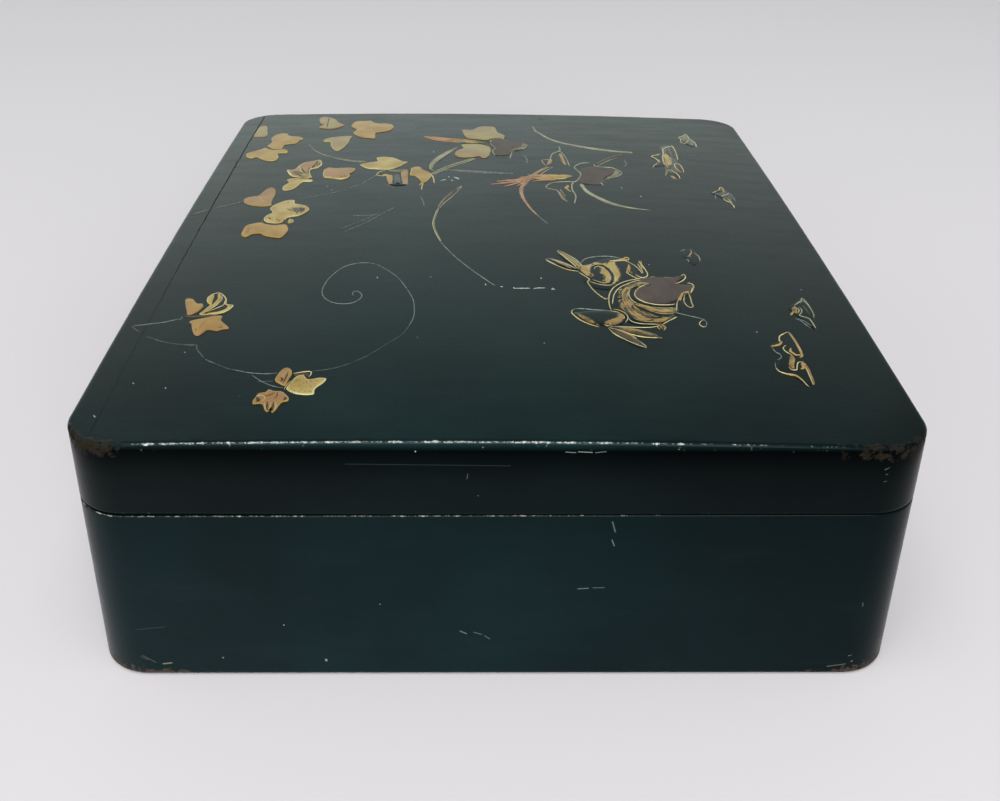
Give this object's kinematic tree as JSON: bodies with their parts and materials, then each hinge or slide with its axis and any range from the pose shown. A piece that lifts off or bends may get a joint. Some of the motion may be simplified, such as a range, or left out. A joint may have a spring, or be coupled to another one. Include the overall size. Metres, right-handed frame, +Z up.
{
  "type": "lacquer box",
  "caption": "Shallow rectangular lacquer box with rounded corners and a crowned lift-off lid, with gold relief leaves, flowers and hares on its top.",
  "frame": {"origin": "centre of the underside, on the surface the box stands on", "axes": "+Z up through the lid, +Y from the front to the back along the longer side, +X to the right seen from the front"},
  "size_m": [0.27, 0.357, 0.0949],
  "materials": {
    "lacquered_wood": "wood under very dark green-black lacquer, semi-gloss, worn brown at edges and corners, with sprinkled gold on the lid's relief",
    "sprinkled_gold": "fine gold powder sprinkled on raised lacquer, satin, rubbed in places",
    "lead_sheet": "thin dull grey-brown lead sheet, matt"
  },
  "bodies": {
    "root": {"box_body": "lacquered_wood", "lid": "lacquered_wood", "hare_flank_inlay": "lead_sheet", "back_petal_inlay": "lead_sheet", "front_petal_inlay": "lead_sheet"}
  },
  "joints": []
}
